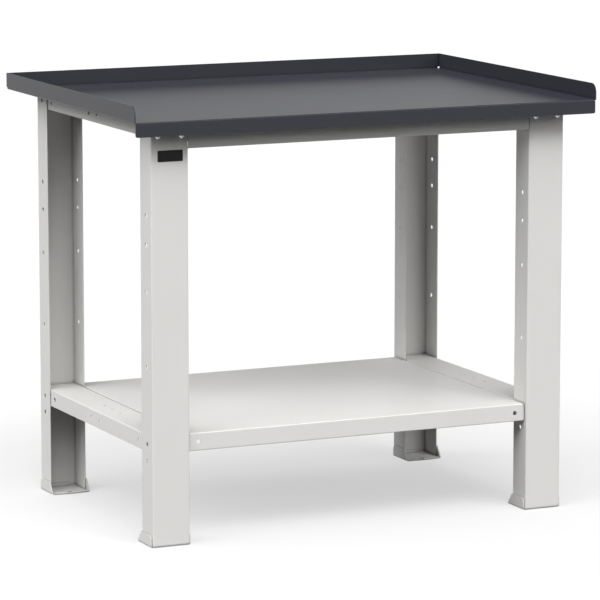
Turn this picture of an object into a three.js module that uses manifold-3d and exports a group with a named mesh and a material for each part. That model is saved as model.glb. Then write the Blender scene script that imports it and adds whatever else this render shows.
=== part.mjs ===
// Assembly table of folded sheet steel: a tray worktop on four channel legs, tied by cross members and rails,
// with a lower shelf and the fasteners that hold it together.
// Millimetres. +X is the table's right, +Y its back and +Z up. The origin is on the floor, under the middle.

import * as THREE from 'three';
import { mergeVertices } from 'three/addons/utils/BufferGeometryUtils.js';
import Module from 'manifold-3d';

const wasm = await Module();
wasm.setup();

// Fits and facets
const fitGap = 0.3;
const bendSteps = 4;
const holeSides = 10;
const cutMargin = 1;

// Worktop: one sheet, folded down in front and up along the other three edges
const topWidth = 1012;
const topDepth = 705;
const surfaceHeight = 850;
const topSheet = 2;
const topBend = 2;
const upstandHeight = 32;
const upstandCorner = 18;
const apronHeight = 28.5;
const apronCorner = 4;
const cornerReliefWidth = 5;
const cornerReliefHeight = 4;

// Legs: channels with the web outwards, set in from the edges of the worktop
const legWidth = 79;
const legFlange = 55;
const legSheet = 2;
const legBend = 2;
const legSideInset = 51;
const legWebInset = 44.5;
const legHoleFromWeb = 27;
const legHoleRises = [-34, 153.5, 304, 396, 454];

// Feet: a base plate with two cheeks outside the leg and a low tab inside it
const footSheet = 2.5;
const footHeight = 25;
const footReach = 18;
const footBulge = 3;
const footCheekSetback = 4;
const footCheekCorner = 9;
const footPlateSetback = 1;
const footTabWidth = 44;
const footTabHeight = 9;
const floorHole = 9;
const floorHoleReach = 9;

// Cross members: the same inverted channel at the top and at the shelf, between the flanges of two legs
const memberHeight = 34.5;
const memberSheet = 2;
const memberBend = 2;
const memberHoleDrop = 18;
const memberHoleStep = 50;
const memberMiddleSpacing = 45;
const memberTopSpacing = 44;
const memberTopHole = 7;
const endPlateHeight = 45;

// Front and rear rails: channels with a tab at each end, open towards the inside of the table
const railHeight = 58;
const railSheet = 2;
const railBend = 2;
const railTopFlange = 32;
const railBottomFlange = 18;
const railTabDepth = 44;
const railTabHeight = 44;

// Lower shelf: a tray turned upside down between the inner flanges of the legs
const shelfHeight = 222.5;
const shelfSheet = 1.5;
const shelfBend = 2.5;
const shelfLip = 35.5;
const shelfReturn = 12;
const shelfEndFlange = 30;
const shelfSetback = 7.5;
const shelfLipEndGap = 1;
const shelfLipCorner = 5;
const shelfLipHole = 9;
const shelfLipHoleFromEnd = 22.5;

// Stiffeners: hat sections under the worktop and under the shelf
const hatSheet = 1.5;
const hatBend = 1.5;
const hatCrown = 40;
const hatBrim = 16;
const topHatHeight = 25;
const topHatSpacing = 230;
const shelfHatHeight = 20;
const hatEndGap = 8;

// Bare plate on the front left leg
const plateWidth = 53;
const plateHeight = 22;
const plateThickness = 0.8;
const plateCorner = 1.5;
const plateDrop = 72.5;
const plateInward = 1.5;

// Flanged bolts and nuts that join the legs, and the studs that hold the worktop
const boltHole = 9;
const boltDiameter = 8;
const boltLength = 20;
const boltFlats = 13;
const boltHeadHeight = 5.5;
const boltFlange = 17;
const boltFlangeHeight = 1.5;
const nutHeight = 8;
const studDiameter = 6;
const studLength = 16;
const studFlats = 10;
const studNutHeight = 5;
const studNutFlange = 13;

// Button-head screws through the leg webs, into the end plates of the upper cross members
const screwDiameter = 6;
const screwLength = 12;
const screwHead = 10.5;
const screwHeadHeight = 3.3;
const screwHeadEdge = 0.8;
const screwHole = 7;
const screwSpacing = 50;
const screwDrop = 33.5;

// Planes that the pieces share
const legOuterX = topWidth / 2 - legSideInset;
const legInnerX = legOuterX - legWidth;
const legMiddleX = (legOuterX + legInnerX) / 2;
const legWebY = topDepth / 2 - legWebInset;
const legHoleY = legWebY - legHoleFromWeb;
const frameTop = surfaceHeight - topSheet - fitGap;
const legBottom = footSheet + fitGap;
const railHoleHeight = frameTop - memberHoleDrop;
const shelfHoleHeight = shelfHeight - memberHoleDrop;
const screwHeight = surfaceHeight - screwDrop;

// Looks of the pieces
const lightGrey = { color: 0xd9d9d6, roughness: 0.45, metalness: 0.0 };
const anthracite = { color: 0x3b3d41, roughness: 0.4, metalness: 0.0 };
const zinc = { color: 0xb4b6b8, roughness: 0.35, metalness: 1.0 };
const black = { color: 0x161617, roughness: 0.4, metalness: 0.0 };

const table = new THREE.Group();

// A closed solid from a three.js geometry
function solidFrom(geometry) {
  const bare = geometry.clone();
  bare.deleteAttribute('normal');
  bare.deleteAttribute('uv');
  const merged = mergeVertices(bare, 1e-4);
  const vertProperties = Float32Array.from(merged.attributes.position.array);
  const triVerts = Uint32Array.from(merged.index.array);
  return new wasm.Manifold(new wasm.Mesh({ numProp: 3, vertProperties, triVerts }));
}

// A three.js geometry from a closed solid
function geometryFrom(solid) {
  const mesh = solid.getMesh();
  const geometry = new THREE.BufferGeometry();
  geometry.setAttribute('position', new THREE.BufferAttribute(Float32Array.from(mesh.vertProperties), 3));
  geometry.setIndex(new THREE.BufferAttribute(Uint32Array.from(mesh.triVerts), 1));
  geometry.computeVertexNormals();
  return geometry;
}

// Outline of a bent strip of sheet: its middle line runs through the points, and each corner is a bend
function stripOutline(points, sheet, insideRadius) {
  const radius = insideRadius + sheet / 2;
  const left = [];
  const right = [];
  const addPair = (middle, normal) => {
    left.push(middle.clone().addScaledVector(normal, sheet / 2));
    right.unshift(middle.clone().addScaledVector(normal, -sheet / 2));
  };
  const line = points.map(([u, v]) => new THREE.Vector2(u, v));
  const direction = (i) => line[i + 1].clone().sub(line[i]).normalize();
  const leftOf = (d) => new THREE.Vector2(-d.y, d.x);
  const origin = new THREE.Vector2();
  line.forEach((point, i) => {
    if (i === 0 || i === line.length - 1) {
      addPair(point, leftOf(direction(Math.min(i, line.length - 2))));
      return;
    }
    const into = direction(i - 1);
    const out = direction(i);
    const turn = Math.atan2(into.cross(out), into.dot(out));
    const side = Math.sign(turn) * radius;
    const start = point.clone().addScaledVector(into, -radius * Math.tan(Math.abs(turn) / 2));
    const centre = start.clone().addScaledVector(leftOf(into), side);
    for (let step = 0; step <= bendSteps; step += 1) {
      const normal = leftOf(into).rotateAround(origin, (turn * step) / bendSteps);
      addPair(centre.clone().addScaledVector(normal, -side), normal);
    }
  });
  return new THREE.Shape([...left, ...right]);
}

// A rectangle with chosen corner radii, centred on the origin
function roundedRectangle(width, height, radius) {
  const right = width / 2;
  const top = height / 2;
  const shape = new THREE.Shape();
  shape.absarc(right - radius, top - radius, radius, 0, Math.PI / 2);
  shape.absarc(radius - right, top - radius, radius, Math.PI / 2, Math.PI);
  shape.absarc(radius - right, radius - top, radius, Math.PI, 1.5 * Math.PI);
  shape.absarc(right - radius, radius - top, radius, 1.5 * Math.PI, 2 * Math.PI);
  return shape;
}

// An outline carried along Z, X or Y. Along X the outline lies in Y and Z, along Y it lies in X and Z.
function extrude(shape, length) {
  return new THREE.ExtrudeGeometry(shape, { depth: length, bevelEnabled: false, curveSegments: bendSteps });
}

function extrudeAlongX(shape, length) {
  return extrude(shape, length).translate(0, 0, -length / 2).rotateX(Math.PI / 2).rotateZ(Math.PI / 2);
}

function extrudeAlongY(shape, length) {
  return extrude(shape, length).translate(0, 0, -length / 2).rotateX(Math.PI / 2);
}

function box(x0, x1, y0, y1, z0, z1) {
  const geometry = new THREE.BoxGeometry(x1 - x0, y1 - y0, z1 - z0);
  return geometry.translate((x0 + x1) / 2, (y0 + y1) / 2, (z0 + z1) / 2);
}

// Round rods along each axis, for shanks and for cutting holes
function rodY(diameter, length, x, y, z) {
  return new THREE.CylinderGeometry(diameter / 2, diameter / 2, length, holeSides).translate(x, y, z);
}

function rodX(diameter, length, x, y, z) {
  return rodY(diameter, length, 0, 0, 0).rotateZ(Math.PI / 2).translate(x, y, z);
}

function rodZ(diameter, length, x, y, z) {
  return rodY(diameter, length, 0, 0, 0).rotateX(Math.PI / 2).translate(x, y, z);
}

function join(...geometries) {
  return geometries.map(solidFrom).reduce((whole, next) => whole.add(next));
}

function cut(solid, ...geometries) {
  return geometries.map(solidFrom).reduce((rest, next) => rest.subtract(next), solid);
}

function addPiece(name, geometry, look, parent = table) {
  const mesh = new THREE.Mesh(geometry, new THREE.MeshStandardMaterial(look));
  mesh.name = name;
  parent.add(mesh);
  return mesh;
}

// A turned group: side is +1 for the right or the back, -1 for the left or the front
function placeAtLeg(xSide, ySide) {
  const group = new THREE.Group();
  group.position.set(xSide * legMiddleX, ySide * legWebY, 0);
  group.rotation.z = ySide > 0 ? Math.PI : 0;
  table.add(group);
  return group;
}

const legPlaces = [
  { name: 'front_left', xSide: -1, ySide: -1 },
  { name: 'front_right', xSide: 1, ySide: -1 },
  { name: 'rear_left', xSide: -1, ySide: 1 },
  { name: 'rear_right', xSide: 1, ySide: 1 },
];

// Worktop tray. The apron stops one sheet short of the upstands, and the rear corners have small reliefs.
function makeWorktop() {
  const half = topSheet / 2;
  const front = -topDepth / 2;
  const back = topDepth / 2;
  const side = topWidth / 2;
  const deck = surfaceHeight - half;
  const rim = surfaceHeight + upstandHeight;
  const bendReach = topBend + topSheet;

  const deckLine = [[front + bendReach, deck], [back - half, deck], [back - half, rim]];
  const deckSheet = extrudeAlongX(stripOutline(deckLine, topSheet, topBend), topWidth - 2 * bendReach);

  const apronFoot = surfaceHeight - apronHeight;
  const apronLine = [[front + half, apronFoot], [front + half, deck], [front + 2 * bendReach, deck]];
  const apronWidth = topWidth - 2 * topSheet;
  const apronSheet = solidFrom(extrudeAlongX(stripOutline(apronLine, topSheet, topBend), apronWidth));
  const apronFace = roundedRectangle(apronWidth, 2 * apronHeight, apronCorner);
  const apronMask = extrudeAlongY(apronFace, topDepth + cutMargin).translate(0, 0, surfaceHeight);

  const sideLine = [[side - 2 * bendReach, deck], [side - half, deck], [side - half, rim]];
  const sideOutline = stripOutline(sideLine, topSheet, topBend);
  const rightSheet = extrudeAlongY(sideOutline, topDepth);
  const leftSheet = rightSheet.clone().rotateZ(Math.PI);
  const sideFace = new THREE.Shape();
  sideFace.moveTo(front, surfaceHeight - topSheet);
  sideFace.lineTo(back, surfaceHeight - topSheet);
  sideFace.lineTo(back, rim);
  sideFace.lineTo(front + upstandCorner, rim);
  sideFace.absarc(front + upstandCorner, rim - upstandCorner, upstandCorner, Math.PI / 2, Math.PI);
  const sideMask = extrudeAlongX(sideFace, topWidth + cutMargin);

  const sides = join(rightSheet, leftSheet).intersect(solidFrom(sideMask));
  const rearReliefs = [-1, 1].map((x) => rodZ(
    cornerReliefWidth, topSheet + cornerReliefHeight + cutMargin,
    x * (side - half), back - half, surfaceHeight + (cornerReliefHeight - topSheet - cutMargin) / 2,
  ));
  const rearWall = box(half - side, side - half, back - topSheet, back, surfaceHeight + topBend, rim);
  const tray = join(deckSheet, rearWall).add(sides).add(apronSheet.intersect(solidFrom(apronMask)));
  addPiece('worktop', geometryFrom(cut(tray, ...rearReliefs)), anthracite);
}

// Hat section: crown down, brims up against the sheet that it stiffens
function hatOutline(height) {
  const half = hatSheet / 2;
  const wall = hatCrown / 2 - half;
  const brim = wall + hatBrim;
  const crown = half - height;
  const line = [[-brim, -half], [-wall, -half], [-wall, crown], [wall, crown], [wall, -half], [brim, -half]];
  return stripOutline(line, hatSheet, hatBend);
}

function makeStiffeners() {
  const length = 2 * (legInnerX - hatEndGap);
  const topHat = extrudeAlongX(hatOutline(topHatHeight), length);
  for (const [name, ySide] of [['front', -1], ['rear', 1]]) {
    const piece = addPiece(`worktop_stiffener_${name}`, topHat.clone(), lightGrey);
    piece.position.set(0, (ySide * topHatSpacing) / 2, frameTop);
  }
  const shelfHat = addPiece('shelf_stiffener', extrudeAlongX(hatOutline(shelfHatHeight), length), lightGrey);
  shelfHat.position.set(0, 0, shelfHeight - shelfSheet - fitGap);
}

// Leg in its own frame: the web's outer face at Y 0, the flanges towards +Y
function makeLegs() {
  const half = legSheet / 2;
  const wall = legWidth / 2 - half;
  const line = [[-wall, legFlange], [-wall, half], [wall, half], [wall, legFlange]];
  const outline = stripOutline(line, legSheet, legBend);
  const channel = extrude(outline, frameTop - legBottom).translate(0, 0, legBottom);
  const heights = [railHoleHeight, shelfHoleHeight, ...legHoleRises.map((rise) => shelfHoleHeight + rise)];
  const flangeHoles = heights.map((z) => rodX(boltHole, legWidth + cutMargin, 0, legHoleFromWeb, z));
  const webHoles = [-1, 1].map((side) => rodY(
    screwHole, 2 * (legSheet + cutMargin), (side * screwSpacing) / 2, 0, screwHeight,
  ));
  const leg = geometryFrom(cut(solidFrom(channel), ...flangeHoles, ...webHoles));
  for (const { name, xSide, ySide } of legPlaces) {
    addPiece(`leg_${name}`, leg.clone(), lightGrey, placeAtLeg(xSide, ySide));
  }
}

// Foot in the leg's frame: the cheeks slope out past the open side of the leg
function makeFeet() {
  const inside = legWidth / 2 + fitGap;
  const outside = inside + footSheet;
  const tip = legFlange + footReach;

  const plateShape = new THREE.Shape();
  plateShape.moveTo(-outside, footPlateSetback);
  plateShape.lineTo(outside, footPlateSetback);
  plateShape.lineTo(outside, tip);
  plateShape.quadraticCurveTo(0, tip + 2 * footBulge, -outside, tip);
  const plate = extrude(plateShape, footSheet);

  const cheekShape = new THREE.Shape();
  cheekShape.moveTo(tip, 0);
  cheekShape.lineTo(legFlange, footHeight);
  cheekShape.lineTo(footCheekSetback + footCheekCorner, footHeight);
  cheekShape.absarc(
    footCheekSetback + footCheekCorner, footHeight - footCheekCorner, footCheekCorner, Math.PI / 2, Math.PI,
  );
  cheekShape.lineTo(footCheekSetback, 0);
  const cheek = extrudeAlongX(cheekShape, footSheet);
  const middle = (inside + outside) / 2;
  const cheeks = [-1, 1].map((side) => cheek.clone().translate(side * middle, 0, 0));
  const tabBack = legSheet + fitGap;
  const tab = box(-footTabWidth / 2, footTabWidth / 2, tabBack, tabBack + footSheet, 0, footTabHeight);
  const solid = join(plate, ...cheeks, tab);
  const hole = rodZ(floorHole, 2 * (footSheet + cutMargin), 0, legFlange + floorHoleReach, 0);
  const foot = geometryFrom(cut(solid, hole));
  for (const { name, xSide, ySide } of legPlaces) {
    addPiece(`foot_${name}`, foot.clone(), lightGrey, placeAtLeg(xSide, ySide));
  }
}

// Cross member with its top face at Z 0. Its wall holes line up with those in the leg flanges.
// The upper ones are closed by end plates behind the leg webs, with a tapped hole for each screw.
function makeCrossMembers() {
  const half = memberSheet / 2;
  const width = legWidth - 2 * (legSheet + fitGap);
  const channelEnd = legWebY - legSheet - legBend - fitGap;
  const wall = width / 2 - half;
  const line = [[-wall, -memberHeight], [-wall, -half], [wall, -half], [wall, -memberHeight]];
  const channel = extrudeAlongY(stripOutline(line, memberSheet, memberBend), 2 * channelEnd);
  const wallPlaces = [legHoleY, legHoleY - memberHoleStep, memberMiddleSpacing / 2].flatMap((y) => [-y, y]);
  const wallHoles = wallPlaces.map((y) => rodX(boltHole, width + cutMargin, 0, y, -memberHoleDrop));
  const topHoles = [-1, 0, 1].map((i) => rodZ(
    memberTopHole, 2 * (memberSheet + cutMargin), 0, i * memberTopSpacing, 0,
  ));
  const member = cut(solidFrom(channel), ...wallHoles, ...topHoles);

  const plateFace = legWebY - legSheet - fitGap;
  const plateReach = legWidth / 2 - legSheet - legBend - fitGap;
  const plate = box(-plateReach, plateReach, channelEnd - half, plateFace, -endPlateHeight, -half);
  const plates = join(plate, plate.clone().rotateZ(Math.PI));
  const tappedHole = screwDiameter + 2 * fitGap;
  const screwHoles = [-1, 1].map((side) => rodY(
    tappedHole, 2 * plateFace + cutMargin, (side * screwSpacing) / 2, 0, screwHeight - frameTop,
  ));
  const closedMember = cut(member.add(plates), ...screwHoles);
  for (const [level, z, solid] of [['upper', frameTop, closedMember], ['lower', shelfHeight, member]]) {
    for (const [sideName, xSide] of [['left', -1], ['right', 1]]) {
      const piece = addPiece(`${level}_cross_member_${sideName}`, geometryFrom(solid), lightGrey);
      piece.position.set(xSide * legMiddleX, 0, z);
    }
  }
}

// Rail in its own frame: the outer face at Y 0, the top at Z 0, the flanges towards +Y
function makeRails() {
  const half = railSheet / 2;
  const length = 2 * (legInnerX - fitGap);
  const bottom = half - railHeight;
  const line = [[railBottomFlange, bottom], [half, bottom], [half, -half], [railTopFlange, -half]];
  const channel = extrudeAlongX(stripOutline(line, railSheet, railBend), length);
  const tab = box(-half, half, half, railTabDepth, -railTabHeight, -half);
  const tabs = [-1, 1].map((side) => tab.clone().translate(side * (length / 2 - half), 0, 0));
  const hole = rodX(boltHole, length + cutMargin, 0, legHoleFromWeb, -memberHoleDrop);
  const rail = geometryFrom(cut(join(channel, ...tabs), hole));
  for (const [name, ySide] of [['front', -1], ['rear', 1]]) {
    const piece = addPiece(`${name}_rail`, rail.clone(), lightGrey);
    piece.position.set(0, ySide * legWebY, frameTop);
    piece.rotation.z = ySide > 0 ? Math.PI : 0;
  }
}

// Shelf: lips with returns at the front and the back, whose ends are rounded, and plain flanges at the sides
function makeShelf() {
  const half = shelfSheet / 2;
  const reach = shelfBend + shelfSheet;
  const endX = legInnerX - fitGap;
  const lipY = legWebY - shelfSetback;
  const top = shelfHeight - half;
  const bottom = shelfHeight - shelfLip + half;
  const lipLine = [
    [shelfReturn - lipY, bottom], [half - lipY, bottom], [half - lipY, top],
    [lipY - half, top], [lipY - half, bottom], [lipY - shelfReturn, bottom],
  ];
  const lipReach = endX - shelfLipEndGap;
  const lips = extrudeAlongX(stripOutline(lipLine, shelfSheet, shelfBend), 2 * lipReach);
  const lipFace = roundedRectangle(2 * lipReach, shelfLip, shelfLipCorner);
  const lipShape = extrudeAlongY(lipFace, 2 * lipY + cutMargin).translate(0, 0, shelfHeight - shelfLip / 2);
  const slitY = lipY - reach - half;
  const slit = box(endX - reach, endX + cutMargin, -slitY, slitY, 0, shelfHeight + cutMargin);
  const otherSlit = slit.clone().rotateZ(Math.PI);
  const roundedLips = cut(solidFrom(lips).intersect(solidFrom(lipShape)), slit, otherSlit);
  const low = shelfHeight - shelfEndFlange;
  const endLine = [[half - endX, low], [half - endX, top], [endX - half, top], [endX - half, low]];
  const ends = extrudeAlongY(stripOutline(endLine, shelfSheet, shelfBend), 2 * (lipY - reach - shelfSheet));
  const endHoles = [-1, 1].map((side) => rodX(
    boltHole, 2 * endX + cutMargin, 0, side * legHoleY, shelfHoleHeight,
  ));
  const lipHoles = [-1, 1].map((side) => rodY(
    shelfLipHole, 2 * lipY + cutMargin, side * (legInnerX - shelfLipHoleFromEnd), 0, shelfHoleHeight,
  ));
  const panel = cut(roundedLips.add(solidFrom(ends)), ...endHoles, ...lipHoles);
  addPiece('shelf_panel', geometryFrom(panel), lightGrey);
}

function makePlate() {
  const shape = roundedRectangle(plateWidth, plateHeight, plateCorner);
  const front = -legWebY - fitGap - plateThickness / 2;
  const piece = addPiece('blank_plate', extrudeAlongY(shape, plateThickness), black);
  piece.position.set(plateInward - legMiddleX, front, surfaceHeight - plateDrop);
}

// Fasteners along Z: the bearing face at Z 0, the head or nut above it
function hexagon(flats, height) {
  const radius = flats / Math.sqrt(3);
  return new THREE.CylinderGeometry(radius, radius, height, 6).rotateX(Math.PI / 2);
}

function boltGeometry() {
  const head = hexagon(boltFlats, boltHeadHeight).translate(0, 0, boltHeadHeight / 2);
  const flange = rodZ(boltFlange, boltFlangeHeight, 0, 0, boltFlangeHeight / 2);
  const shank = rodZ(boltDiameter, boltLength + boltFlangeHeight, 0, 0, (boltFlangeHeight - boltLength) / 2);
  return geometryFrom(join(head, flange, shank));
}

function nutGeometry(diameter, flats, flangeDiameter, height) {
  const body = hexagon(flats, height).translate(0, 0, height / 2);
  const flange = rodZ(flangeDiameter, boltFlangeHeight, 0, 0, boltFlangeHeight / 2);
  const bore = rodZ(diameter + 2 * fitGap, 2 * (height + cutMargin), 0, 0, 0);
  return geometryFrom(cut(join(body, flange), bore));
}

// Bolts through the inner flange of each leg: at the top they take the rails, below they take the shelf
function makeLegFasteners() {
  const bolt = boltGeometry();
  const nut = nutGeometry(boltDiameter, boltFlats, boltFlange, nutHeight);
  const nutFace = legInnerX + legSheet + fitGap + memberSheet + fitGap;
  const joints = [
    { name: 'rail', z: railHoleHeight, headFace: legInnerX - fitGap - railSheet - fitGap },
    { name: 'shelf', z: shelfHoleHeight, headFace: legInnerX - fitGap - shelfSheet - fitGap },
  ];
  for (const joint of joints) {
    for (const { name, xSide, ySide } of legPlaces) {
      const boltPiece = addPiece(`${joint.name}_bolt_${name}`, bolt.clone(), zinc);
      boltPiece.position.set(xSide * joint.headFace, ySide * legHoleY, joint.z);
      boltPiece.rotation.y = (-xSide * Math.PI) / 2;
      const nutPiece = addPiece(`${joint.name}_nut_${name}`, nut.clone(), zinc);
      nutPiece.position.set(xSide * nutFace, ySide * legHoleY, joint.z);
      nutPiece.rotation.y = (xSide * Math.PI) / 2;
    }
  }
}

// Button-head screws in the frame of each leg: the head in front of the web, the shank in the end plate
function makeLegScrews() {
  const profile = new THREE.Path();
  profile.moveTo(0, -screwLength);
  profile.lineTo(screwDiameter / 2, -screwLength);
  profile.lineTo(screwDiameter / 2, 0);
  profile.lineTo(screwHead / 2, 0);
  profile.lineTo(screwHead / 2, screwHeadEdge);
  profile.quadraticCurveTo(screwHead / 2, screwHeadHeight, 0, screwHeadHeight);
  const screw = new THREE.LatheGeometry(profile.getPoints(bendSteps), holeSides).rotateX(Math.PI);
  for (const { name, xSide, ySide } of legPlaces) {
    for (const [place, away] of [['inner', -1], ['outer', 1]]) {
      const piece = addPiece(`leg_screw_${name}_${place}`, screw.clone(), zinc, placeAtLeg(xSide, ySide));
      piece.position.set((-xSide * ySide * away * screwSpacing) / 2, -fitGap, screwHeight);
    }
  }
}

// Studs hang from the worktop through the outer top holes of the upper cross members, with a nut under each
function makeWorktopFasteners() {
  const stud = rodZ(studDiameter, studLength, 0, 0, -studLength / 2);
  const nut = nutGeometry(studDiameter, studFlats, studNutFlange, studNutHeight);
  for (const { name, xSide, ySide } of legPlaces) {
    const x = xSide * legMiddleX;
    const y = ySide * memberTopSpacing;
    addPiece(`worktop_stud_${name}`, stud.clone(), zinc).position.set(x, y, frameTop);
    const nutPiece = addPiece(`worktop_nut_${name}`, nut.clone(), zinc);
    nutPiece.position.set(x, y, frameTop - memberSheet - fitGap);
    nutPiece.rotation.x = Math.PI;
  }
}

makeWorktop();
makeStiffeners();
makeLegs();
makeFeet();
makeCrossMembers();
makeRails();
makeShelf();
makePlate();
makeLegFasteners();
makeLegScrews();
makeWorktopFasteners();

export default table;
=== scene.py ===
"""Assembly table of folded sheet steel: every piece is a flat pattern of sheet, folded along its bends, or a
turned fastener, painted or plated, on a pale floor in soft studio light. In metres, in the part's frame."""

import math
from collections import namedtuple

import bpy
import numpy as np
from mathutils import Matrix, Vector


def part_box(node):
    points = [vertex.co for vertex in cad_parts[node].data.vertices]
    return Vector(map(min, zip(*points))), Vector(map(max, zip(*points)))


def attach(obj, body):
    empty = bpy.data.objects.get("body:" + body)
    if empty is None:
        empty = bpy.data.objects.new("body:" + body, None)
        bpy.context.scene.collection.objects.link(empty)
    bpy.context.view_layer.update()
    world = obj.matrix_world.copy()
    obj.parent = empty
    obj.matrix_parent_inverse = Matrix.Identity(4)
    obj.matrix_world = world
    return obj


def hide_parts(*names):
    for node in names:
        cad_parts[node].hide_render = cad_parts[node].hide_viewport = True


bl_info = {
    "name": "Assembly Table",
    "version": (1, 0, 0),
    "blender": (4, 5, 0),
    "location": "View3D > Sidebar > Table",
    "description": "Builds the painted sheet-steel pieces of an assembly table around its packed frame",
    "category": "Add Mesh",
}

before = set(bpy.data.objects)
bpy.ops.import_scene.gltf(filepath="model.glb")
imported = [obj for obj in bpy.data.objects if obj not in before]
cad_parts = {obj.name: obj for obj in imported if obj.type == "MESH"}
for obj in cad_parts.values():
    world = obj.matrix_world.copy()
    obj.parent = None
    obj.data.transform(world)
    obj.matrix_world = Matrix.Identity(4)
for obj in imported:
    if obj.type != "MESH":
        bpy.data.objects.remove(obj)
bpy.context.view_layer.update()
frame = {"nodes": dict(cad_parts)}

MM = 0.001
QUARTER = math.pi / 2
CORNERS = ("front_left", "front_right", "rear_left", "rear_right")

# How finely curves are divided: a bend, a side of the square round a hole, a rounded corner, a bolt, screw or
# nut, a stud, and each turn of a thread
BEND_STEPS = 6
HOLE_STEPS = 6
ROUND_STEPS = 8
TURN_STEPS = 48
STUD_STEPS = 32
THREAD_STEPS = 8

# Sines at the steps of a rounded corner
ROUNDING = np.sin(np.linspace(0, QUARTER, ROUND_STEPS + 1))

# Parts of the flat stretches that are drawn to shape: an end of the apron, and a foot beside its hole
APRON_PARTS = 2
FOOT_PARTS = 4

# Side of the square of cells that a hole replaces, over its diameter
HOLE_SQUARE = 1.35

# Least distance of two grid lines, and the slack where a point is tested against a line of the pattern
LEAST_STEP = 0.002 * MM
TOUCH = 0.001 * MM

# Rounding of the sheets' edges, and the least angle of an edge that is rounded
EDGE_ROUNDING = 0.35 * MM
SHARP_ANGLE = math.radians(40)

# Shares in a fastener: thread depth over pitch, start of a flange's cone over the flange's height, round top
# of a hexagon over its flats, and a socket's floor over the height of its button head
THREAD_DEPTH = 0.54
FLANGE_CONE = 0.6
HEXAGON_TOP = 0.96
SOCKET_FLOOR = 0.45

# Inset of the middle of the plate's rounded edge, over the width of that edge
EDGE_EASE = 0.3

# Nearly all of a noise lies between these values
NOISE_RANGE = {"From Min": 0.3, "From Max": 0.7}

# Soft boxes of the studio: the heading in degrees, 0 in front and -90 at the left, the sine of the elevation
# where the light is brightest, how far it fades above and below that, and its strength
SoftBox = namedtuple("SoftBox", "heading height fade strength")
SOFT_BOXES = {
    "overhead": SoftBox(0, 0.80, 0.25, 11.4),
    "left high": SoftBox(-90, 0.80, 0.25, 4.6),
    "left": SoftBox(-90, 0.45, 0.25, 6.3),
    "front left": SoftBox(-45, 0.65, 0.20, 6.4),
    "right fill": SoftBox(45, 0.35, 0.25, 5.0),
    "rear": SoftBox(135, 0.10, 0.25, 1.2),
    "rear high": SoftBox(180, 0.85, 0.20, 3.0),
}
SOFT_BOX_SPREAD = math.cos(math.radians(45))

# Floor: the grey of its bounced light, its white to the camera, and the glow that lifts that white
FLOOR_BOUNCE = 0.05
FLOOR_WHITE = 0.26
FLOOR_GLOW = 0.56


def linear(hex_colour):
    """Linear RGB of an sRGB hex colour such as "#CDCCCA"."""
    parts = np.array([int(hex_colour[i:i + 2], 16) for i in (1, 3, 5)]) / 255
    return tuple(np.where(parts <= 0.04045, parts / 12.92, ((parts + 0.055) / 1.055) ** 2.4))


def length(name, description, millimetres):
    """A property that holds a length, given in millimetres and kept in metres."""
    return bpy.props.FloatProperty(
        name=name, description=description, default=millimetres * MM, min=0, unit="LENGTH", precision=5
    )


def colour(name, description, hex_colour):
    """A property that holds a paint or metal colour."""
    return bpy.props.FloatVectorProperty(
        name=name, description=description, default=linear(hex_colour), size=3, min=0, max=1, subtype="COLOR"
    )


def angle(name, description, degrees):
    """A property that holds an angle, given in degrees."""
    return bpy.props.FloatProperty(
        name=name, description=description, default=math.radians(degrees), subtype="ANGLE"
    )


class WorktopSizes(bpy.types.PropertyGroup):
    sheet: length("Sheet", "Thickness of the sheet", 2)
    bend: length("Bend", "Inside radius of the bends", 0.6)
    surface: length("Surface", "Height of the work surface above the floor", 850)
    upstand_corner: length("Upstand corner", "Radius at the front ends of the side upstands", 18)
    apron_corner: length("Apron corner", "Radius at the lower corners of the apron", 4)
    slit: length("Slit", "Cut between the bend of the apron and those of the upstands", 1)
    relief: length("Relief", "Cut in the bends at the rear corners", 2)
    relief_rise: length("Relief rise", "Height of that cut above the bends", 2.4)
    corner_gap: length("Corner gap", "Gap between the rear upstand and the side ones", 0.3)


class LegSizes(bpy.types.PropertyGroup):
    sheet: length("Sheet", "Thickness of the sheet", 2)
    bend: length("Bend", "Inside radius of the bends", 0.4)
    hole: length("Hole", "Diameter of the holes in the flanges", 9)
    hole_from_web: length("Hole from web", "Distance of the flange holes from the web's face", 27)
    hole_drop: length("Hole drop", "Depth of the bolted holes under the top of a rail or the shelf", 18)
    hole_rises: bpy.props.FloatVectorProperty(
        name="Hole rises", description="Heights of the open holes above the bolted one at the shelf",
        default=[rise * MM for rise in (-34, 153.5, 304, 396, 454)], size=5, unit="LENGTH",
    )
    screw_hole: length("Screw hole", "Diameter of the screw holes in the web", 7)


class FootSizes(bpy.types.PropertyGroup):
    sheet: length("Sheet", "Thickness of the plates", 2.5)
    bend: length("Bend", "Inside radius of the bends", 1)
    bulge: length("Bulge", "How far the plate's inward edge curves out", 3)
    setback: length("Setback", "Distance of the cheeks behind the leg's web", 4)
    corner: length("Corner", "Radius of the upper front corner of the cheeks", 9)
    tab_width: length("Tab width", "Width of the low tab inside the leg", 44)
    tab_height: length("Tab height", "Height of the low tab inside the leg", 9)
    tab_gap: length("Tab gap", "Gap between the tab and the leg's web", 0.3)
    floor_hole: length("Floor hole", "Diameter of the fixing hole in the tip of the plate", 9)
    hole_reach: length("Hole reach", "Distance of that hole from the leg's open side", 9)
    hole_margin: length("Hole margin", "Straight stretch of the plate past that hole", 0.5)


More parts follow.
